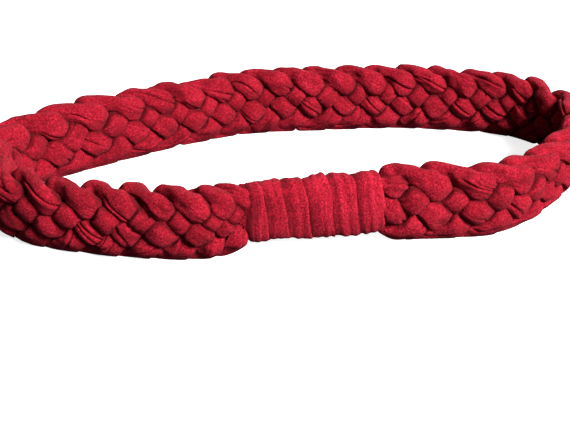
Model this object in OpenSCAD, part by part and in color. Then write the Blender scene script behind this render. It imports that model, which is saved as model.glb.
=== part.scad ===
// Braided jersey headband. Five soft strips are plaited flat, each one passing over one strip and
// under the next, and the plait is closed into a loop that stands on its lower edge. A sixth strip
// is wound over the joint between the two ends of the plait.
//
// Millimetres. Z is up and the resting edge is at z = 0. X is the long way of the loop, and the
// wound joint is on the -Y side. Positions along the band are measured from the middle of the joint,
// counter-clockwise seen from above.

/* [Loop] */
// Length of the band's centre line, once round
loop_length = 560; // [480:5:640]

/* [Plait] */
// Height of the band, across its strands
band_h = 31.2; // [24:0.2:38]
// Thickness of the band, through two strands
band_t = 12; // [9:0.5:15]
// Widest that one strand spreads, across its own path
strand_w = 9.8; // [7:0.1:11]
// How tightly the strands turn at the two edges, where 1 is a sharp corner
edge_turn = 0.93; // [0.7:0.01:0.99]
// Clearance between neighbouring strands
strand_gap = 0.6; // [0.1:0.05:0.9]
// Sides of each strand's section
sides = 8; // [6:1:12]
// Rings of each strand for one lobe of the plait
rings = 7; // [4:1:10]

/* [Joint] */
// Length of the wound part, along the band
wrap_l = 50.4; // [36:0.2:70]
// How far the wound part's middle lies to the right of the joint
wrap_shift = -0.4; // [-3:0.1:3]
// Height of the wound part at its right end
wrap_h = 27; // [22:0.2:32]
// Height of the wound part at its left end
wrap_h_left = 24.2; // [22:0.2:32]
// Thickness of the wound part
wrap_t = 13.6; // [11:0.2:18]
// How far the wound part's middle lies above the band's middle
wrap_rise = 1.5; // [0:0.1:2]
// Turns of the winding strip
wrap_turns = 6; // [5:1:9]
// Thickness of the winding strip
wrap_strip_t = 2; // [1.4:0.1:2.6]
// Share of its full size that the plait is squeezed to under the winding
squeeze = 0.64; // [0.6:0.01:0.85]
// Gap between the two ends of the plait
end_gap = 2; // [1:0.2:4]
// Diameter of the sewing thread
thread_d = 0.5; // [0.3:0.05:0.8]

/* [Hidden] */

red = "#b3142e";
deep_red = "#8e0f24";

// ---- The loop: a smooth closed curve through twelve points, as it lies on a table ----

loop_points = [
  [115, 11], [102, 46], [55.5, 57.5], [7, 55], [-29.5, 49], [-76.5, 24],
  [-115, -6], [-104, -41], [-46, -54.5], [-3, -47.5], [46, -40.5], [81.5, -32.5]
];
loop_n = len(loop_points);
loop_steps = 16;

function curve(a, b, c, d, t) =
  (2 * b + (c - a) * t + (2 * a - 5 * b + 4 * c - d) * t * t + (3 * b - a - 3 * c + d) * t * t * t) / 2;

// The joint lies a fifth of the way from the tenth point to the eleventh.
joint_from = 9.2;
raw_loop = [
  for (i = [0 : loop_n * loop_steps])
    let (u = joint_from + i / loop_steps, j = floor(u))
      curve(
        loop_points[(j - 1) % loop_n],
        loop_points[j % loop_n],
        loop_points[(j + 1) % loop_n],
        loop_points[(j + 2) % loop_n],
        u - j
      )
];

function run_of(points) = [
  for (i = 0, s = 0; i < len(points); i = i + 1, s = i < len(points) ? s + norm(points[i] - points[i - 1]) : s) s
];
raw_run = run_of(raw_loop);
grow = loop_length / raw_run[len(raw_run) - 1];
// Brings the middle of the loop's box to the origin.
centring = [-0.4, 1.7, 0];

loop_x = [for (i = [0 : len(raw_run) - 1]) [raw_run[i] * grow, raw_loop[i].x * grow]];
loop_y = [for (i = [0 : len(raw_run) - 1]) [raw_run[i] * grow, raw_loop[i].y * grow]];

function wrapped(q) = q - loop_length * floor(q / loop_length);
function on_loop(q) = [lookup(wrapped(q), loop_x), lookup(wrapped(q), loop_y), 0] - centring;
function unit(v) = v / norm(v);
function along(q) = unit(on_loop(q + 2) - on_loop(q - 2));
function outward(q) = cross(along(q), [0, 0, 1]);
function from_joint(q) = min(wrapped(q), loop_length - wrapped(q));

// ---- The plait: where each strand runs ----

lobes = 36;
period = 5;
squeeze_to = wrap_l / 2 + 0.5;
squeeze_from = squeeze_to + 11;
strand_t = band_t / 2;
swing = band_h / 2 - strand_w / 2;
lift = band_t / 4;
mid_z = band_h / 2;

// Where each lobe of the plait starts, as a share of the loop: long and loose beside the joint on
// the right, even along the back, and tight where the plait reaches the joint again on the left.
pace = [
  [0, 0.022],
  [1, 0.048],
  [9, 0.2805],
  [23, 0.627],
  [26, 0.722],
  [29, 0.8],
  [31, 0.854],
  [34, 0.924],
  [36, 0.953]
];

tail = 2;
plait_from = pace[0][1] * loop_length;
plait_to = pace[len(pace) - 1][1] * loop_length;

// The plait's lobe count, and the distance along the band, where a strand has passed x lobes.
// Below 0 and above the last lobe the strands run straight to the joint.
function lobe_at(x) = min(max(x, 0), lobes);
function run_at(x) =
  x < 0
    ? plait_from + (plait_from - end_gap / 2) * x / tail
    : x > lobes
      ? plait_to + (loop_length - end_gap / 2 - plait_to) * (x - lobes) / tail
      : lookup(x, pace) * loop_length;

// The plait swells out quickly where it leaves the winding.
function size_at(q) =
  let (t = min(max((from_joint(q) - squeeze_to) / (squeeze_from - squeeze_to), 0), 1))
    squeeze + (1 - squeeze) * sin(90 * t);
function rise_at(q) = (wrap_rise + 1) * (1 - size_at(q)) / (1 - squeeze);

// Across the band: -1 at the lower edge, 1 at the upper edge.
function across(u) = -asin(edge_turn * cos(360 * u)) / asin(edge_turn);

// Through the band: over and under by turns at the four crossings between one edge and the other.
function through(u) =
  let (h = 10 * (u - 0.5 * floor(2 * u)))
    sin(h < 1 ? 90 * h : h < 4 ? 90 + 180 * (h - 1) : 630 + 90 * (h - 4));

// How much higher or lower than band_h the upper edge stands, by share of the loop: a soft band is
// never quite even.
top_edge = [
  [0, 0],
  [0.06, 1.2],
  [0.11, 0.6],
  [0.17, -2.2],
  [0.25, -1.2],
  [0.34, -1.4],
  [0.42, -0.6],
  [0.5, 0.2],
  [0.58, -0.2],
  [0.67, 1.2],
  [0.75, 1],
  [0.83, -1],
  [0.92, -0.2],
  [0.95, 0],
  [1, 0]
];

function centre(x, k) =
  let (
    q = run_at(x),
    u = (lobe_at(x) + k) / period,
    f = size_at(q),
    h = across(u),
    z = mid_z + rise_at(q) + swing * f * h + lookup(q / loop_length, top_edge) * (1 + h) / 2
  ) on_loop(q) + outward(q) * lift * f * through(u) + [0, 0, z];

// ---- One strand: a soft section that fills the room its neighbours leave it ----

// Every strand's centre line as close points, from the start of its straight part.
fine = 12;
lines = [for (k = [0 : period - 1]) [for (m = [0 : (lobes + 2 * tail) * fine]) centre(m / fine - tail, k)]];

function near(x, k) =
  let (
    m = round((x + tail) * fine),
    from = max(m - fine, 0),
    to = min(m + fine, len(lines[k]) - 1)
  ) [for (j = [from : to]) lines[k][j]];

function soft_radius(a, f) =
  f / pow(pow(abs(cos(a)) * 2 / strand_w, 2.4) + pow(abs(sin(a)) * 2 / strand_t, 2.4), 1 / 2.4);

function room(c, d, others) =
  min([
    for (p = others)
      let (v = p - c, g = v * d)
        g > 0.01 ? (v * v) / (2 * g) - strand_gap / 2 : 1000
  ]);

function ring(x, k) =
  let (
    c = centre(x, k),
    t = unit(centre(x + 0.07, k) - centre(x - 0.07, k)),
    n = outward(run_at(x)),
    up = unit(n - t * (t * n)),
    side = cross(t, up),
    f = size_at(run_at(x)),
    others = [for (j = [0 : period - 1]) if (j != k) each near(x, j)]
  ) [
    for (a = [0 : 360 / sides : 359])
      let (d = side * cos(a) + up * sin(a))
        c + d * min(soft_radius(a, f), room(c, d, others))
  ];

function tube_faces(count, n) = concat(
  [for (i = [1 : n - 2]) [0, i + 1, i]],
  [for (i = [1 : n - 2]) [(count - 1) * n, (count - 1) * n + i, (count - 1) * n + i + 1]],
  [for (r = [0 : count - 2], i = [0 : n - 1]) [r * n + i, r * n + (i + 1) % n, (r + 1) * n + i]],
  [for (r = [0 : count - 2], i = [0 : n - 1]) [r * n + (i + 1) % n, (r + 1) * n + (i + 1) % n, (r + 1) * n + i]]
);

module tube(section_rings) {
  n = len(section_rings[0]);
  polyhedron(
    points = [for (r = section_rings) each r],
    faces = tube_faces(len(section_rings), n),
    convexity = 12
  );
}

module strand(k) {
  color(red)
    tube([
      for (i = [-3 : lobes * rings + 3])
        let (past = i - lobes * rings)
          ring(i < 0 ? i * tail / 3 : past > 0 ? lobes + past * tail / 3 : i / rings, k)
    ]);
}

module strand_1() {
  strand(0);
}

module strand_2() {
  strand(1);
}

module strand_3() {
  strand(2);
}

module strand_4() {
  strand(3);
}

module strand_5() {
  strand(4);
}

// ---- The joint: a wound strip, and the sewing thread that it hides ----

wrap_steps = 22;
wrap_z = mid_z + wrap_rise;
function wrap_h_at(q) = wrap_h_left + (wrap_h - wrap_h_left) * min(max(q / wrap_l + 0.5, 0), 1);

// A point on a flattened ring round the band, at angle a from its top, turning down the outer face.
function round_band(q, a, half_h, half_t) =
  on_loop(q)
  + outward(q) * half_t * sign(sin(a)) * pow(abs(sin(a)), 0.6)
  + [0, 0, wrap_z + half_h * sign(cos(a)) * pow(abs(cos(a)), 0.6)];

// Where the strip's left edge lies after a number of turns. The turns are close together on the
// left and open out to the right.
first_pitch = 0.75;
function edge_at(turn) =
  let (t = min(max(turn, -0.4) / wrap_turns, 1))
    wrap_shift + wrap_l * (first_pitch * t + (1 - first_pitch) * t * t - 0.5);

// The strip's section: across its width, and from its inner side to its crowned outer side.
strip_section = [
  [-0.5, -0.5], [0.5, -0.5], [0.5, 0.1], [0.3, 0.44], [0, 0.5], [-0.3, 0.44], [-0.5, 0.1]
];
turn_gap = 0.25;

function wrap_ring(turn) =
  let (
    a = 90 + 360 * turn,
    q = (edge_at(turn) + edge_at(turn + 1)) / 2,
    w = edge_at(turn + 1) - edge_at(turn) - turn_gap,
    half_h = wrap_h_at(q) / 2 - wrap_strip_t / 2,
    half_t = wrap_t / 2 - wrap_strip_t / 2,
    d = unit(round_band(q, a + 3, half_h, half_t) - round_band(q, a - 3, half_h, half_t)),
    side = along(q),
    out = unit(cross(side, d)) * -1
  ) [for (s = strip_section) round_band(q, a, half_h, half_t) + side * s.x * w + out * s.y * wrap_strip_t];

// It starts and ends on the inner face, where both ends are cut at a slant.
module wrap_strip() {
  color(red)
    tube([for (i = [0 : wrap_turns * wrap_steps]) wrap_ring(i / wrap_steps - 0.5)]);
}

// Three close turns of thread round one end of the plait.
module binding(q) {
  turns = 3;
  steps = 20;
  half_h = wrap_h_at(q) / 2 - wrap_strip_t - thread_d / 2 - 0.1;
  half_t = wrap_t / 2 - wrap_strip_t - thread_d / 2 - 0.1;
  color(deep_red)
    tube([
      for (i = [0 : turns * steps])
        let (
          a = 360 * i / steps,
          s = q + 1.4 * thread_d * i / steps,
          p = round_band(s, a, half_h, half_t),
          d = unit(round_band(s, a + 3, half_h, half_t) - round_band(s, a - 3, half_h, half_t)),
          side = along(s),
          out = cross(d, side)
        ) [for (b = [0 : 72 : 359]) p + (side * cos(b) + out * sin(b)) * thread_d / 2]
    ]);
}

module end_binding_left() {
  binding(-6);
}

module end_binding_right() {
  binding(4);
}

// One straight stitch between two points.
module stitch(a, b) {
  v = b - a;
  translate(a)
    rotate([0, acos(v.z / norm(v)), atan2(v.y, v.x)])
      cylinder(h = norm(v), d = thread_d, $fn = 8);
}

// Stitches from each strand's one end to its other end, across the gap.
module join_stitches() {
  clear = 0.05;
  color(deep_red)
    for (k = [0 : period - 1], dz = [-1, 1])
      stitch(
        centre(lobes + tail, k) + along(0) * clear + [0, 0, dz],
        centre(-tail, k) - along(0) * clear + [0, 0, dz]
      );
}

// Two stitches on the inner face that hold the winding's last turn to the one before it.
module wrap_tack_stitches() {
  q = edge_at(wrap_turns - 0.5) - 1.5;
  inner = wrap_t / 2 + thread_d / 2 + 0.2;
  color(deep_red)
    for (dz = [-3, 3])
      stitch(
        on_loop(q) - outward(q) * inner + [0, 0, wrap_z + dz],
        on_loop(q + 3) - outward(q + 3) * inner + [0, 0, wrap_z + dz + 1]
      );
}

strand_1();
strand_2();
strand_3();
strand_4();
strand_5();
wrap_strip();
end_binding_left();
end_binding_right();
join_stitches();
wrap_tack_stitches();
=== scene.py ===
import math

import bpy
import numpy as np
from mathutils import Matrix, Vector


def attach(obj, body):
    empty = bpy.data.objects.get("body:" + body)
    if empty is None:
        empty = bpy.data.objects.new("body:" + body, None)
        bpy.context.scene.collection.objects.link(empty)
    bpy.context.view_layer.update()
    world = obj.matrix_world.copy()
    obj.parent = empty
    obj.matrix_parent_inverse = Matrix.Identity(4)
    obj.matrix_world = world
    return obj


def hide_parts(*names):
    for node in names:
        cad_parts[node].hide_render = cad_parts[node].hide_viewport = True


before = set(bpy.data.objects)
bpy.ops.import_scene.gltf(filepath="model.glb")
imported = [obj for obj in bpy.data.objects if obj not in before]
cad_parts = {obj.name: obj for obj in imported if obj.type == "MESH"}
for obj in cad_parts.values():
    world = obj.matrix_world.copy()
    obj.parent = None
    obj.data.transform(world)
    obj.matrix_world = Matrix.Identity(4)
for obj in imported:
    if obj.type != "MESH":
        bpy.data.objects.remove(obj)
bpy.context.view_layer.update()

# The looks of a braided jersey headband. Five soft strips are plaited flat into a loop that stands
# on its lower edge, and a sixth strip is wound over the joint. The sewing thread is the CAD model's
# own, with a thread material.
#
# Shapes are worked out in millimetres, in the frame's own axes, and MM turns them into metres when
# a mesh is made. In the functions, q is the distance along the band from the middle of the joint,
# counter-clockwise seen from above, and x counts the lobes that a strand has passed. Heights h
# across the band run from -1 at the lower edge to 1 at the upper edge, and f is the share of its
# full size that the plait has.

MM = 0.001

# ---- Sizes of the CAD model: every strand follows its own CAD solid ----

# Length of the band's centre line, once round.
LOOP_LENGTH = 560
# Height of the band, and its thickness through two strands.
BAND_H = 31.2
BAND_T = 12
# Widest that one CAD strand spreads, across its own path.
STRAND_W = 9.8
# How tightly the strands turn at the two edges, where 1 is a sharp corner.
EDGE_TURN = 0.93
# Length of the wound part, and how far its middle lies to the right of the joint.
WRAP_L = 50.4
WRAP_SHIFT = -0.4
# Height of the wound part at its right and left ends, its thickness, and its rise above the band.
WRAP_H = 27
WRAP_H_LEFT = 24.2
WRAP_T = 13.6
WRAP_RISE = 1.5
# Turns of the winding strip, the first turn's pitch against the mean pitch, and the turn until
# which the strip's edge stays where it starts.
WRAP_TURNS = 6
FIRST_PITCH = 0.75
EARLIEST_TURN = -0.4
# Share of its full size that the plait is squeezed to under the winding, and how far it rises there.
SQUEEZE = 0.64
SQUEEZED_RISE = WRAP_RISE + 1
# Gap between the two ends of the plait.
END_GAP = 2

# The loop is a smooth closed curve through these points. The joint lies JOINT_FROM points along it,
# and CENTRING brings the middle of its box to the origin.
LOOP_POINTS = np.array([
    (115, 11), (102, 46), (55.5, 57.5), (7, 55), (-29.5, 49), (-76.5, 24),
    (-115, -6), (-104, -41), (-46, -54.5), (-3, -47.5), (46, -40.5), (81.5, -32.5),
])
JOINT_FROM = 9.2
CENTRING = np.array([-0.4, 1.7])

# Lobes of the plait once round. PERIOD is the number of strands, and also of the lobes that pass
# until a strand is back at the same edge. Each straight end under the winding counts for TAIL lobes.
LOBES = 36
PERIOD = 5
TAIL = 2
# Where each lobe of the plait starts, as a share of the loop.
PACE = np.array([
    (0, 0.022), (1, 0.048), (9, 0.2805), (23, 0.627), (26, 0.722),
    (29, 0.8), (31, 0.854), (34, 0.924), (36, 0.953),
])
# How far a strand moves out of the band's middle plane, and the middle heights of band and winding.
LIFT = BAND_T / 4
MID_Z = BAND_H / 2
WRAP_Z = MID_Z + WRAP_RISE

# ---- Sizes of the soft plait: the strands are fuller and less even than the CAD solids ----

# Distance from the joint at which the plait swells out again, and how soon it is at full size.
SQUEEZE_TO = WRAP_L / 2 - 1
FLARE_RIGHT = 7
FLARE_LEFT = 12
# A soft strand's thickness, and its width along the upper edge and in the other rows.
STRAND_T = 7.2
TOP_W = 10.8
SOFT_W = 12.4
# How much fuller the middle rows are, and leaner the outer rows, as a share.
MID_FULL = 0.2
# How far inside the band's edges a strand's centre line turns back, and so how far it swings.
EDGE_ROOM = 4.5
SWING = BAND_H / 2 - EDGE_ROOM

# How much higher than BAND_H the upper edge stands, by share of the loop.
TOP_EDGE = np.array([
    (0, 0), (0.06, 0.8), (0.09, -0.6), (0.13, -1.2), (0.17, -3), (0.25, -1.6),
    (0.34, -1.4), (0.42, -0.6), (0.5, 0.2), (0.58, -0.6), (0.67, 0.6), (0.76, 0.6),
    (0.8, -0.2), (0.82, -1.2), (0.83, -1.6), (0.92, -1.2), (0.95, -0.6), (1, 0),
])
# How much higher the lowest row stands, by share of the loop. Below 0 it is flattened on the floor.
LOWER_EDGE = np.array([
    (0, 0), (0.045, 2), (0.06, 1.4), (0.08, 0), (0.2, 0), (0.28, 0.6),
    (0.6, 0.8), (0.64, 1.5), (0.665, -1), (0.7, -2), (0.73, -2.5), (0.8, -2.5),
    (0.84, -0.5), (0.905, 0), (0.925, 1), (0.95, 3), (1, 0),
])
# How deep the band is dished, by share of the loop: above 0 on its outer face, below 0 on its inner
# one. The dish is deepest at height DISH_AT.
DISH_SIDE = np.array([(0, 0.6), (0.12, 0.6), (0.26, -1.1), (0.62, -1.1), (0.76, 0.2), (1, 0.2)])
DISH_AT = 0.3
DISH_SPREAD = 0.35

# How much further from the middle plane the upper lobes lie, and how much less far the lower ones,
# as a share that grows from height PROUD_FROM.
TOP_PROUD = 0.35
FOOT_PROUD = -0.5
PROUD_FROM = 0.25
# How far the lower rows sink, from SINK_FROM below the middle and fully SINK_OVER below that.
SINK = 1.8
SINK_FROM = 0.3
SINK_OVER = 0.4
# How far the middle rows are shifted upwards, as a height.
ROW_SHIFT = 0.04
# Where the lobes are further apart than EVEN_PITCH the strands are wider too, up to MOST_STRETCH
# times as wide. The distance is taken over PITCH_SPAN lobes.
EVEN_PITCH = 14.5
PITCH_SPAN = 3
MOST_STRETCH = 1.25
# Depth over which the upper lobes are rounded off at the upper edge.
SOFT_TOP = 1.6
# Height below which the strands tuck in under the band, and how far they do, as a share.
FOOT_H = 8
FOOT_TUCK = 0.8
# Clearance above the floor.
FLOOR_GAP = 0.05

# A strand's room is PRESS times the way to the plane halfway to its neighbour. The higher
# LIMIT_POWER is, the more sharply it is pressed flat there, and it never gets thinner than LEAST_R.
PRESS = 1.25
LIMIT_POWER = 4
LEAST_R = 0.6
# It starts to look pressed where its free shape fills PRESSED_FROM of the room. Where it is pressed it
# puckers, and its colour gets painted shade.
PRESSED_FROM = 0.6
PRESSED_OVER = 0.5
# Points looked at on a neighbour for each lobe, from one lobe back to one lobe ahead. Only points
# more than FACING ahead in a direction count there, and where none does the room is FAR.
NEAR_STEPS = 12
FACING = 0.01
FAR = 1000.0

# Rings of points along a strand, and points round each.
STRAND_RINGS = 980
STRAND_SIDES = 96
# Steps for finding which way the band runs, in millimetres, and which way a strand runs, in lobes.
BAND_STEP = 2
STRAND_STEP = 0.1
# For the texture's scale a strand counts as a round rod, this share as thick as STRAND_W.
ROD_SHARE = 0.8

# ---- Sizes of the soft irregularity ----

SEED = 7

# How far a strand's centre line wanders, how much its size varies as a share, and how lumpy it is.
WOBBLE = 0.5
SIZE_NOISE = 0.09
LUMP = 0.45
# Folds in each strand, and the depth and width of a fold's groove.
FOLDS = 5
FOLD_DEPTH = 1.0
FOLD_WIDTH = 0.36
# A fold opens where its waves times FOLD_GAIN are above -FOLD_OFTEN.
FOLD_GAIN = 0.9
FOLD_OFTEN = 0.35
# How far a fold drifts round the strand, in radians, and how far it may turn for each millimetre.
FOLD_DRIFT = 1.2
FOLD_TWIST = 0.02
# Height of the lip beside a groove, its distance from the groove, and its width.
LIP = 0.3
LIP_AT = 1.2
LIP_WIDTH = 0.9
# Depth of an even pucker, the deepest against that, and where patches of puckers start.
PUCKER = 0.2
PUCKER_MOST = 1.5
PUCKER_OFTEN = 0.6

# The random waves of each kind: how many, the shortest and the longest, and most turns round the
# strand. Lengths are millimetres, and lobes for the wobble.
WOBBLE_WAVES = (5, 0.9, 4)
SIZE_WAVES = (6, 12, 45)
LUMP_WAVES = (18, 5, 30, 3)
DRIFT_WAVES = (4, 40, 130)
FOLD_WAVES = (5, 14, 60)
PUCKER_WAVES = (10, 1.8, 4, 3)
PATCH_WAVES = (6, 10, 30)


# ---- Small helpers ----

def unit(v):
    return v / np.linalg.norm(v, axis=-1, keepdims=True)


def ease(t):
    """A smooth step from 0 to 1 while t goes from 0 to 1."""
    t = np.clip(t, 0, 1)
    return t * t * (3 - 2 * t)


def wrapped(q):
    return np.mod(q, LOOP_LENGTH)


def by_share(q, table):
    """The value at distance q in a table by share of the loop."""
    return np.interp(q / LOOP_LENGTH, table[:, 0], table[:, 1])


# ---- The loop ----

def make_loop(steps=64):
    """Distance and place along the closed curve through LOOP_POINTS, from the middle of the joint."""
    n = len(LOOP_POINTS)
    u = JOINT_FROM + np.arange(n * steps + 1) / steps
    j = np.floor(u).astype(int)
    t = (u - j)[:, None]
    a, b, c, d = (LOOP_POINTS[(j + i) % n] for i in (-1, 0, 1, 2))
    p = (2 * b + (c - a) * t + (2 * a - 5 * b + 4 * c - d) * t ** 2 + (3 * b - a - 3 * c + d) * t ** 3) / 2
    run = np.r_[0, np.cumsum(np.linalg.norm(np.diff(p, axis=0), axis=1))]
    grow = LOOP_LENGTH / run[-1]
    return run * grow, p * grow - CENTRING


LOOP_RUN, LOOP_XY = make_loop()


def on_loop(q):
    """The place on the floor below the band's centre line."""
    q = wrapped(np.asarray(q, float))
    return np.stack([np.interp(q, LOOP_RUN, LOOP_XY[:, 0]), np.interp(q, LOOP_RUN, LOOP_XY[:, 1]), 0 * q], -1)


def along(q):
    return unit(on_loop(np.asarray(q) + BAND_STEP) - on_loop(np.asarray(q) - BAND_STEP))


def outward(q):
    t = along(q)
    return np.stack([t[..., 1], -t[..., 0], 0 * t[..., 0]], -1)


# ---- Soft irregularity ----

def waves(rng, count, shortest, longest, most_turns=0):
    """Random waves over a tube: length along it, turns round it, and phase."""
    length = np.exp(rng.uniform(math.log(shortest), math.log(longest), count))
    turns = rng.integers(-most_turns, most_turns + 1, count)
    phase = rng.uniform(0, 2 * math.pi, count)
    return np.stack([length, turns, phase], -1)


def swell(wave_list, s, a=0.0):
    """The sum of waves at s along the tube and angle a round it. It stays mostly between -1 and 1."""
    total = 0
    for length, turns, phase in wave_list:
        total = total + np.cos(2 * math.pi * s / length + turns * a + phase)
    return total / math.sqrt(len(wave_list))


# For each strand, the waves by which it wanders up and down, and in and out.
WOBBLES = [
    [waves(np.random.default_rng(100 * k + i), *WOBBLE_WAVES) for i in range(2)]
    for k in range(PERIOD)
]


# ---- The plait ----

def lobe_at(x):
    return np.clip(x, 0, LOBES)


def run_at(x):
    """Distance along the band where a strand has passed x lobes."""
    plait_from, plait_to = PACE[0, 1] * LOOP_LENGTH, PACE[-1, 1] * LOOP_LENGTH
    q = np.interp(x, PACE[:, 0], PACE[:, 1]) * LOOP_LENGTH
    q = np.where(x < 0, plait_from + (plait_from - END_GAP / 2) * x / TAIL, q)
    past = (LOOP_LENGTH - END_GAP / 2 - plait_to) * (x - LOBES) / TAIL
    return np.where(x > LOBES, plait_to + past, q)


def size_at(q):
    """Share of its full size that the plait has: it swells out quickly where it leaves the winding."""
    right, left = wrapped(q) - SQUEEZE_TO, LOOP_LENGTH - wrapped(q) - SQUEEZE_TO
    t = np.clip(np.minimum(right / FLARE_RIGHT, left / FLARE_LEFT), 0, 1)
    return SQUEEZE + (1 - SQUEEZE) * np.sin(t * math.pi / 2)


def rise_at(q):
    return SQUEEZED_RISE * (1 - size_at(q)) / (1 - SQUEEZE)


def across(u):
    """Height across the band, after u rounds of a strand's path from edge to edge and back."""
    return -np.arcsin(EDGE_TURN * np.cos(2 * math.pi * u)) / math.asin(EDGE_TURN)


def through(u):
    """Through the band: over and under by turns at the four crossings from one edge to the other."""
    h = 10 * np.mod(u, 0.5)
    angle = np.where(h < 1, 90 * h, np.where(h < 4, 90 + 180 * (h - 1), 630 + 90 * (h - 4)))
    return np.sin(np.radians(angle))


def stretch_at(x):
    """How far apart the lobes are here, against an even plait."""
    span = run_at(x + PITCH_SPAN / 2) - run_at(x - PITCH_SPAN / 2)
    return np.clip(span / PITCH_SPAN / EVEN_PITCH, 1, MOST_STRETCH)


def centre(x, k):
    """The middle of strand k after x lobes."""
    x = np.asarray(x, float)
    q, u = run_at(x), (lobe_at(x) + k) / PERIOD
    f, h = size_at(q), across(u)
    h = h + ROW_SHIFT * (1 - h ** 2)
    wander_z, wander_out = (WOBBLE * f * swell(w, x) for w in WOBBLES[k])
    edge = by_share(q, TOP_EDGE) * (1 + h) / 2 + by_share(q, LOWER_EDGE) * (1 - h) / 2
    proud = np.where(h > 0, TOP_PROUD, FOOT_PROUD) * np.maximum(np.abs(h) - PROUD_FROM, 0)
    dish = by_share(q, DISH_SIDE) * np.exp(-((h - DISH_AT) / DISH_SPREAD) ** 2)
    depth = LIFT * f * through(u) * (1 + proud) + wander_out - dish * (f - SQUEEZE) / (1 - SQUEEZE)
    sink = SINK * f * ease((-h - SINK_FROM) / SINK_OVER)
    p = on_loop(q) + outward(q) * depth[..., None]
    p[..., 2] += MID_Z + rise_at(q) + SWING * f * h + edge - sink + wander_z * (1 - np.abs(h) ** 3)
    return p


def soft_radius(a, width):
    """How far a free strand reaches at angle a, from its width at 0 to its thickness at a right angle."""
    return ((np.cos(a) * 2 / width) ** 2 + (np.sin(a) * 2 / STRAND_T) ** 2) ** -0.5


def strand_width(x, h):
    """A free strand's width after x lobes, at height h: narrower along the upper edge."""
    high = np.clip(h, 0, 1) ** 4
    return TOP_W * high + SOFT_W * stretch_at(x) * (1 - high)


def room_beside(x, k, c, d):
    """How far from c, in directions d, strand k may reach before it meets a neighbour halfway."""
    steps = np.arange(-NEAR_STEPS, NEAR_STEPS + 1) / NEAR_STEPS
    room = np.full(d.shape[:2], FAR)
    for j in range(PERIOD):
        if j == k:
            continue
        near = np.clip(x[:, None] + steps[None], -TAIL, LOBES + TAIL)
        v = centre(near, j) - c[:, None]
        g = np.einsum("imc,iac->iam", v, d)
        square = (v * v).sum(-1)[:, None]
        room = np.minimum(room, np.where(g > FACING, square / (2 * np.maximum(g, FACING)), FAR).min(-1))
    return room


def fold_lines(rng, s, a, r):
    """Lengthwise folds of the rolled strip: a sharp groove with a raised lip on one side of it."""
    change = np.zeros_like(r)
    for _ in range(FOLDS):
        drift = FOLD_DRIFT * swell(waves(rng, *DRIFT_WAVES), s)
        where = rng.uniform(0, 2 * math.pi) + drift + FOLD_TWIST * s * rng.uniform(-1, 1)
        depth = FOLD_DEPTH * ease(FOLD_GAIN * swell(waves(rng, *FOLD_WAVES), s) + FOLD_OFTEN)
        side = rng.choice([-1, 1])
        gap = (np.mod(a[None] - where[:, None] + math.pi, 2 * math.pi) - math.pi) * r * side
        groove = np.exp(-(gap / FOLD_WIDTH) ** 2)
        lip = LIP * np.exp(-((gap - LIP_AT) / LIP_WIDTH) ** 2)
        change += depth[:, None] * (lip - groove)
    return change


def puckers(rng, s, a, pressed):
    """Small dents where the cloth is gathered between two strands, in patches along the strand."""
    dents = np.clip(0.5 + 0.5 * swell(waves(rng, *PUCKER_WAVES), s[:, None], a[None]), 0, PUCKER_MOST)
    return PUCKER * dents * pressed * ease(PUCKER_OFTEN + swell(waves(rng, *PATCH_WAVES), s))[:, None]


def round_top(z, q):
    """Heights z, with the crown of each upper lobe rounded off towards the upper edge."""
    over = np.maximum(z - (BAND_H + by_share(q, TOP_EDGE) - SOFT_TOP)[:, None], 0)
    return z - (over - SOFT_TOP * (1 - np.exp(-over / SOFT_TOP)))


def tuck_foot(p, q, n):
    """Points p, drawn in under the band near the floor."""
    foot = FOOT_TUCK * np.clip(1 - p[..., 2] / FOOT_H, 0, 1) ** 2
    depth = ((p - on_loop(q)[:, None]) * n[:, None]).sum(-1)
    return p - n[:, None] * (depth * foot)[..., None]


def strand_points(k):
    """Strand k's rings of points, the length at each ring, the angles round it, and how hard each
    point is pressed."""
    rng = np.random.default_rng(SEED + k)
    x = np.linspace(-TAIL, LOBES + TAIL, STRAND_RINGS)
    a = np.arange(STRAND_SIDES) * 2 * math.pi / STRAND_SIDES
    c, q = centre(x, k), run_at(x)
    f, h = size_at(q), across((lobe_at(x) + k) / PERIOD)
    s = np.r_[0, np.cumsum(np.linalg.norm(np.diff(c, axis=0), axis=1))]

    t = unit(centre(x + STRAND_STEP, k) - centre(x - STRAND_STEP, k))
    n = outward(q)
    up = unit(n - t * (t * n).sum(-1, keepdims=True))
    side = np.cross(t, up)
    d = side[:, None] * np.cos(a)[None, :, None] + up[:, None] * np.sin(a)[None, :, None]

    size = f * (1 + SIZE_NOISE * swell(waves(rng, *SIZE_WAVES), s))
    size = size * (1 + MID_FULL * (1 - 2 * h ** 2))
    soft = size[:, None] * soft_radius(a[None], strand_width(x, h)[:, None])
    soft = soft + LUMP * f[:, None] * swell(waves(rng, *LUMP_WAVES), s[:, None], a[None])
    room = PRESS * room_beside(x, k, c, d)
    pressed = ease((soft / room - PRESSED_FROM) / PRESSED_OVER)
    folds = fold_lines(rng, s, a, soft) * f[:, None]

    # Lips are pressed flat with the rest of the strand. Grooves and puckers are cut afterwards.
    full = soft + np.maximum(folds, 0)
    r = (full ** -LIMIT_POWER + room ** -LIMIT_POWER) ** (-1 / LIMIT_POWER)
    r = r + np.minimum(folds, 0) - puckers(rng, s, a, pressed)
    p = c[:, None] + d * np.maximum(r, LEAST_R)[..., None]
    p[..., 2] = np.maximum(round_top(p[..., 2], q), FLOOR_GAP)
    return tuck_foot(p, q, n), s, a, pressed


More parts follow.
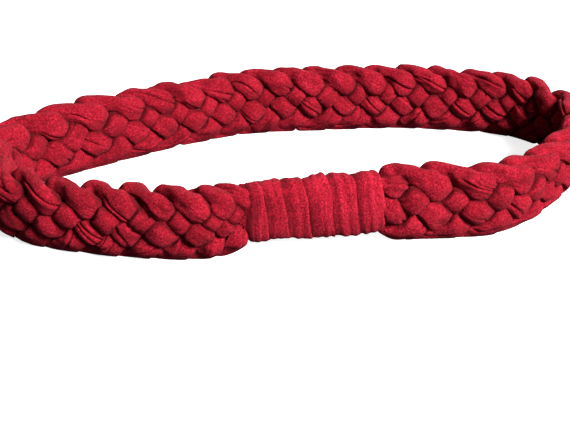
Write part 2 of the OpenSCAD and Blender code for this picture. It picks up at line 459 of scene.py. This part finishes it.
def tube_mesh(name, p, s, around, shade):
    """A closed tube through rings of points p. Its UV map holds metres along and across the strip,
    and shade, from 0 to 1 at each point, is painted shade: how much darker its colour is painted where it
    lies deep between parts."""
    rings, sides = p.shape[:2]
    points = np.concatenate([p.reshape(-1, 3), p[:1].mean(1), p[-1:].mean(1)]) * MM
    start = np.arange(rings - 1)[:, None] * sides
    here = np.arange(sides)[None]
    after = (here + 1) % sides
    quads = np.stack([start + here, start + after, start + sides + after, start + sides + here], -1)
    first, last = rings * sides, rings * sides + 1
    edge = (rings - 1) * sides
    pairs = [(int(i), int(j)) for i, j in zip(here[0], after[0])]
    caps = [(first, j, i) for i, j in pairs] + [(last, edge + i, edge + j) for i, j in pairs]
    mesh = bpy.data.meshes.new(name)
    mesh.from_pydata(points.tolist(), [], quads.reshape(-1, 4).tolist() + caps)

    u = np.repeat(s[:, None], sides + 1, 1) * MM
    v = np.broadcast_to(around, (rings, sides + 1)) * MM
    ring = np.arange(rings - 1)[:, None]
    corners = [(ring, here), (ring, here + 1), (ring + 1, here + 1), (ring + 1, here)]
    uv = np.stack([np.stack([u[r, c], v[r, c]], -1) for r, c in corners], 2).reshape(-1, 2)
    uv = np.concatenate([uv, np.zeros((3 * len(caps), 2))])
    mesh.uv_layers.new(name="strip").data.foreach_set("uv", uv.astype(np.float32).ravel())
    # Painted shade for each point, and full painted shade at the two middles of the end caps.
    value = np.r_[shade.ravel(), 1, 1].astype(np.float32)
    mesh.attributes.new("painted_crease_shade", "FLOAT", "POINT").data.foreach_set("value", value)
    mesh.polygons.foreach_set("use_smooth", np.ones(len(mesh.polygons), bool))
    mesh.update()
    piece = bpy.data.objects.new(name, mesh)
    bpy.context.scene.collection.objects.link(piece)
    return piece


def make_strand(k):
    p, s, a, pressed = strand_points(k)
    around = np.r_[a, 2 * math.pi] * STRAND_W / 2 * ROD_SHARE
    # How hard each point is pressed is also its painted shade, darker where strands press together.
    return tube_mesh(f"jersey_strand_{k + 1}", p, s, around, pressed)


# ---- The wound strip ----

WRAP_SEED = SEED + 50
# Rings of points for one turn, and points across the strip on each side of it.
WRAP_STEPS = 200
WRAP_ACROSS = 26
# Thickness of the cloth, how deep its middle lies below the CAD winding's surface, and how much
# fuller the inner face is.
WRAP_CLOTH = 1.0
WRAP_BELOW = 0.8
INNER_FULL = 0.7
# How boxy the winding's section is, where 1 is an ellipse and less is squarer.
WRAP_CORNER = 0.88
# Girth of the winding against that of its box, and the strip's width for the texture's scale.
WRAP_GIRTH = 0.85
WRAP_STRIP_W = 12
# How far each turn reaches under the turn before it, how deep it lies there in cloth thicknesses,
# how far before that turn's edge it starts to come up, and over what width it does.
WRAP_TUCK = 3.0
TUCK_DEPTH = 0.95
TUCK_EASE = 0.3
TUCK_OVER = 4
# How much of their steps and thickness the turns show: all on top of the band, least underneath.
STEP_MEAN = 0.7
STEP_CHANGE = 0.3
# The left edge of the first turn and the right edge of the last slope down to the plait: how deep,
# over what widths, up to which turn, and from how many turns before the end.
END_SLOPE = 1.4
FIRST_OVER = 3
LAST_OVER = 5
FIRST_UNTIL = 1.5
LAST_FROM = 1.6
# Share of the cloth's thickness at its edges, and the width over which they are rounded.
EDGE_T = 0.15
EDGE_W = 1.0
# A faint bead along each right edge: its height, its distance from the edge, and its width.
BEAD = 0.1
BEAD_AT = 1.2
BEAD_WIDTH = 0.9
# How much the two edges wander, the height of the folds along the strip and how closely they follow
# each other across it, and the height of the lumps that the plait makes under it.
LEFT_WANDER = 0.5
RIGHT_WANDER = 0.35
WRAP_FOLD = 0.2
WRAP_FOLD_PACE = 0.55
WRAP_LUMP = 0.3
WANDER_WAVES = (6, 15, 60)
WRAP_FOLD_WAVES = (10, 40, 200, 4)
WRAP_LUMP_WAVES = (12, 12, 50, 3)
# How much painted shade darkens the tucked part of a turn, against the painted shade where strands press
# together.
WRAP_SHADE = 0.6


def wrap_h_at(q):
    return WRAP_H_LEFT + (WRAP_H - WRAP_H_LEFT) * np.clip(q / WRAP_L + 0.5, 0, 1)


def edge_at(turn):
    """Where the strip's left edge lies along the band after a number of turns."""
    t = np.minimum(np.maximum(turn, EARLIEST_TURN) / WRAP_TURNS, 1)
    return WRAP_SHIFT + WRAP_L * (FIRST_PITCH * t + (1 - FIRST_PITCH) * t * t - 0.5)


def boxy(value):
    return np.sign(value) * np.abs(value) ** WRAP_CORNER


def round_band(q, a, half_h, half_t):
    """A point on a flattened ring round the band, at angle a from its top, down the outer face first."""
    p = on_loop(q) + outward(q) * (half_t * boxy(np.sin(a)))[..., None]
    p[..., 2] += WRAP_Z + half_h * boxy(np.cos(a))
    return p


def wrap_edges(rng, turn, s):
    """Where the strip's left and right edges lie along the band, at each number of turns."""
    left = edge_at(turn) - WRAP_TUCK * ease(turn + 0.5)
    left = left + LEFT_WANDER * swell(waves(rng, *WANDER_WAVES), s)
    right = edge_at(turn + 1) + RIGHT_WANDER * swell(waves(rng, *WANDER_WAVES), s)
    return left[:, None], right[:, None]


def wrap_steps_at(turn, from_left, from_right, tucked):
    """How far the strip lies below its usual place, where it is tucked in and at its two ends."""
    first, last = ease(FIRST_UNTIL - turn), ease(turn - WRAP_TURNS + LAST_FROM)
    slope = first * (1 - ease(from_left / FIRST_OVER)) + last * (1 - ease(from_right / LAST_OVER))
    return tucked * (1 - first) * WRAP_CLOTH * TUCK_DEPTH, END_SLOPE * slope


def make_wrap():
    rng = np.random.default_rng(WRAP_SEED)
    # It starts and ends on the inner face.
    turn = np.linspace(-0.5, WRAP_TURNS - 0.5, WRAP_TURNS * WRAP_STEPS + 1)
    angle = (math.pi / 2 + 2 * math.pi * turn)[:, None]
    s = turn * 2 * (WRAP_H + WRAP_T) * WRAP_GIRTH

    # Across the strip: from its left edge over the outer side to the right edge, and back inside.
    v = 0.5 - 0.5 * np.cos(np.linspace(0, math.pi, WRAP_ACROSS))
    across_strip = np.r_[v, v[::-1]]
    outer = np.r_[np.ones(WRAP_ACROSS), np.zeros(WRAP_ACROSS)]
    left, right = wrap_edges(rng, turn, s)
    q = left + (right - left) * across_strip
    from_left, from_right = q - left, right - q

    # The left part of each turn is tucked under the turn before it, and its right edge lies on top.
    tucked = 1 - ease((from_left - WRAP_TUCK + TUCK_EASE) / TUCK_OVER)
    step, slope = wrap_steps_at(turn[:, None], from_left, from_right, tucked)
    shown = STEP_MEAN + STEP_CHANGE * np.cos(angle)

    bead = BEAD * np.exp(-((from_right - BEAD_AT) / BEAD_WIDTH) ** 2)
    folds = WRAP_FOLD * swell(waves(rng, *WRAP_FOLD_WAVES), s[:, None], from_left * WRAP_FOLD_PACE)
    lumps = WRAP_LUMP * swell(waves(rng, *WRAP_LUMP_WAVES), q, angle)
    from_edge = np.clip(np.minimum(from_left, from_right) / EDGE_W, 0, 1)
    thickness = EDGE_T + (1 - EDGE_T) * np.sqrt(1 - (1 - from_edge) ** 2)
    cloth = WRAP_CLOTH * shown * (outer - 0.5) * thickness
    rise = (bead + folds) * outer + lumps + cloth - step * shown - slope - WRAP_BELOW

    half_h = wrap_h_at(q) / 2 + rise
    half_t = WRAP_T / 2 + rise + INNER_FULL * ease(-np.sin(angle))
    p = round_band(q, np.broadcast_to(angle, q.shape), half_h, half_t)
    p[..., 2] = np.maximum(p[..., 2], FLOOR_GAP)
    width = across_strip * WRAP_STRIP_W
    # The tucked part of each turn gets painted shade, under the edge of the turn before it.
    return tube_mesh("jersey_wrap", p, s, np.r_[width, width[0]], tucked * WRAP_SHADE)


# ---- Materials ----

class Nodes:
    """Short calls for building one material's node tree."""

    def __init__(self, name):
        self.material = bpy.data.materials.new(name)
        self.material.use_nodes = True
        self.tree = self.material.node_tree
        self.shader = self.tree.nodes["Principled BSDF"]

    def add(self, kind, **settings):
        node = self.tree.nodes.new(kind)
        for key, value in settings.items():
            setattr(node, key, value)
        return node

    def link(self, source, target):
        self.tree.links.new(source, target)

    def put(self, node, **values):
        for key, value in values.items():
            node.inputs[key.replace("_", " ")].default_value = value
        return node

    def math(self, operation, a, b):
        node = self.add("ShaderNodeMath", operation=operation)
        for socket, value in zip(node.inputs, (a, b)):
            if isinstance(value, (int, float)):
                socket.default_value = value
            else:
                self.link(value, socket)
        return node.outputs[0]

    def weighted(self, *parts):
        """The sum of values, each of them times its weight."""
        total = 0
        for value, weight in parts:
            total = self.math("ADD", total, self.math("MULTIPLY", value, weight))
        return total

    def noise(self, coordinates, scale, detail, roughness):
        node = self.put(self.add("ShaderNodeTexNoise"), Scale=scale, Detail=detail, Roughness=roughness)
        self.link(coordinates, node.inputs["Vector"])
        return node.outputs["Fac"]

    def scaled(self, coordinates, scale):
        node = self.put(self.add("ShaderNodeMapping"), Scale=scale)
        self.link(coordinates, node.inputs["Vector"])
        return node.outputs["Vector"]

    def ramp(self, factor, stops):
        node = self.add("ShaderNodeValToRGB")
        elements = node.color_ramp.elements
        while len(elements) < len(stops):
            elements.new(0.5)
        for element, (place, colour) in zip(elements, stops):
            element.position = place
            element.color = (*colour, 1)
        self.link(factor, node.inputs["Fac"])
        return node.outputs["Color"]

    def colour(self, value):
        self.link(value, self.shader.inputs["Base Color"])

    def bump(self, height, strength, distance):
        node = self.put(self.add("ShaderNodeBump"), Strength=strength, Distance=distance)
        self.link(height, node.inputs["Height"])
        self.link(node.outputs["Normal"], self.shader.inputs["Normal"])


def jersey_material(name, dark, middle, bright):
    """Brushed cotton jersey: a mottled fleece over faint knitted ribs that run along the strip, with painted
    shade in its hollows.
    """
    m = Nodes(name)
    place = m.add("ShaderNodeTexCoord").outputs["Object"]
    strip = m.add("ShaderNodeUVMap", uv_map="strip").outputs["UV"]
    painted_crease_shade = m.add("ShaderNodeAttribute", attribute_name="painted_crease_shade").outputs["Fac"]

    fleece = m.noise(place, scale=1300, detail=4, roughness=0.7)
    fibres = m.noise(m.scaled(strip, (420, 1900, 1)), scale=1, detail=3, roughness=0.6)
    patches = m.noise(place, scale=95, detail=2, roughness=0.5)
    ribs = m.add("ShaderNodeTexWave", wave_type="BANDS", bands_direction="Y")
    m.put(ribs, Scale=170, Distortion=3, Detail=2, Detail_Scale=1.5)
    m.link(strip, ribs.inputs["Vector"])

    # Painted shade: the colour is darkened by the shade stored on each mesh, deepest where strands press
    # together and where a turn of the winding tucks under.
    tone = m.weighted((fleece, 0.7), (fibres, 0.15), (patches, 0.2), (painted_crease_shade, -0.19))
    m.colour(m.ramp(tone, [(0.38, dark), (0.54, middle), (0.68, bright)]))
    m.put(m.shader, Roughness=0.92, Sheen_Weight=0.03, Sheen_Roughness=0.5, Specular_IOR_Level=0.12)
    m.put(m.shader, Sheen_Tint=(1, 0.45, 0.5, 1))
    pile = m.weighted((fleece, 0.8), (fibres, 0.2), (ribs.outputs["Fac"], 0.08))
    m.bump(pile, strength=1, distance=0.0009)
    return m.material


def thread_material():
    """Polyester sewing thread: fine slanting plies with a soft gloss."""
    m = Nodes("sewing_thread")
    place = m.add("ShaderNodeTexCoord").outputs["Object"]
    plies = m.add("ShaderNodeTexWave", wave_type="BANDS", bands_direction="DIAGONAL")
    m.put(plies, Scale=900, Distortion=0.6, Detail=1)
    m.link(place, plies.inputs["Vector"])
    m.colour(m.ramp(plies.outputs["Fac"], [(0.1, (0.12, 0.003, 0.01)), (0.8, (0.34, 0.01, 0.025))]))
    m.put(m.shader, Roughness=0.55, Sheen_Weight=0.15)
    m.bump(plies.outputs["Fac"], strength=0.6, distance=0.0001)
    return m.material


def floor_material():
    """A pale, evenly lit floor that sends little light back up, so the band's lower edge stays dark."""
    m = Nodes("pale_floor")
    seen = m.add("ShaderNodeLightPath").outputs["Is Camera Ray"]
    m.colour(m.ramp(seen, [(0, (0.08, 0.075, 0.1)), (1, (0.9, 0.9, 0.9))]))
    m.put(m.shader, Emission_Color=(1, 1, 1, 1))
    m.link(m.math("MULTIPLY", seen, 0.8), m.shader.inputs["Emission Strength"])
    m.put(m.shader, Roughness=0.9, Specular_IOR_Level=0.1)
    return m.material


# ---- The object ----

red_jersey = jersey_material(
    "red_jersey", dark=(0.12, 0.0016, 0.006), middle=(0.33, 0.006, 0.018), bright=(0.62, 0.021, 0.052)
)
# Painted light: the winding is the same red jersey, given lighter colours to stand in for the brighter light
# that falls on it.
lit_wrap_jersey = jersey_material(
    "lit_wrap_jersey", dark=(0.15, 0.0022, 0.008), middle=(0.40, 0.008, 0.024), bright=(0.70, 0.026, 0.062)
)
red_thread = thread_material()

for k in range(PERIOD):
    strand = make_strand(k)
    strand.data.materials.append(red_jersey)
    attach(strand, "root")
    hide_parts(f"strand_{k + 1}")

wrap = make_wrap()
wrap.data.materials.append(lit_wrap_jersey)
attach(wrap, "root")
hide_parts("wrap_strip")

for node in ("end_binding_left", "end_binding_right", "join_stitches", "wrap_tack_stitches"):
    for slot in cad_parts[node].material_slots:
        slot.material = red_thread

# ---- The studio, in metres and degrees ----

CAMERA_PLACE = Vector((-0.0043, -0.3632, 0.1962))
CAMERA_PITCH = 60
CAMERA_LENS = 63.16
CAMERA_SENSOR = 36
SKY_LIGHT = 0.022
FLOOR_SIZE = 12


def make_camera():
    camera = bpy.data.objects.new("camera", bpy.data.cameras.new("camera"))
    camera.data.lens = CAMERA_LENS
    camera.data.sensor_width = CAMERA_SENSOR
    camera.location = CAMERA_PLACE
    camera.rotation_euler = (math.radians(CAMERA_PITCH), 0, 0)
    bpy.context.scene.collection.objects.link(camera)
    bpy.context.scene.camera = camera


def soft_light(name, azimuth, elevation, distance, size, power):
    """A square light that faces the object. Azimuth 0 is in front of it and 90 is on its right."""
    turn, tilt = math.radians(azimuth), math.radians(elevation)
    direction = (math.sin(turn) * math.cos(tilt), -math.cos(turn) * math.cos(tilt), math.sin(tilt))
    light = bpy.data.objects.new(name, bpy.data.lights.new(name, "AREA"))
    light.data.size = size
    light.data.energy = power
    light.location = distance * Vector(direction)
    light.rotation_euler = light.location.to_track_quat("Z", "Y").to_euler()
    bpy.context.scene.collection.objects.link(light)


def make_world():
    """White where the camera sees it, and dim as a light, so the shadows in the plait stay deep."""
    world = bpy.data.worlds.new("studio")
    world.use_nodes = True
    nodes, links = world.node_tree.nodes, world.node_tree.links
    nodes["Background"].inputs["Color"].default_value = (1, 1, 1, 1)
    seen = nodes.new("ShaderNodeLightPath").outputs["Is Camera Ray"]
    strength = nodes.new("ShaderNodeMapRange")
    strength.inputs["To Min"].default_value = SKY_LIGHT
    strength.inputs["To Max"].default_value = 1
    links.new(seen, strength.inputs["Value"])
    links.new(strength.outputs["Result"], nodes["Background"].inputs["Strength"])
    bpy.context.scene.world = world


def make_floor():
    bpy.ops.mesh.primitive_plane_add(size=FLOOR_SIZE)
    floor = bpy.context.object
    floor.name = "floor"
    floor.data.materials.append(floor_material())
    return floor


make_camera()
soft_light("key", azimuth=46, elevation=38, distance=1.6, size=0.5, power=60)
soft_light("fill", azimuth=0, elevation=70, distance=1.6, size=1, power=0.6)
soft_light("back", azimuth=160, elevation=22, distance=1.6, size=1.2, power=14)
make_world()
bpy.context.scene.view_settings.view_transform = "Standard"

floor = make_floor()
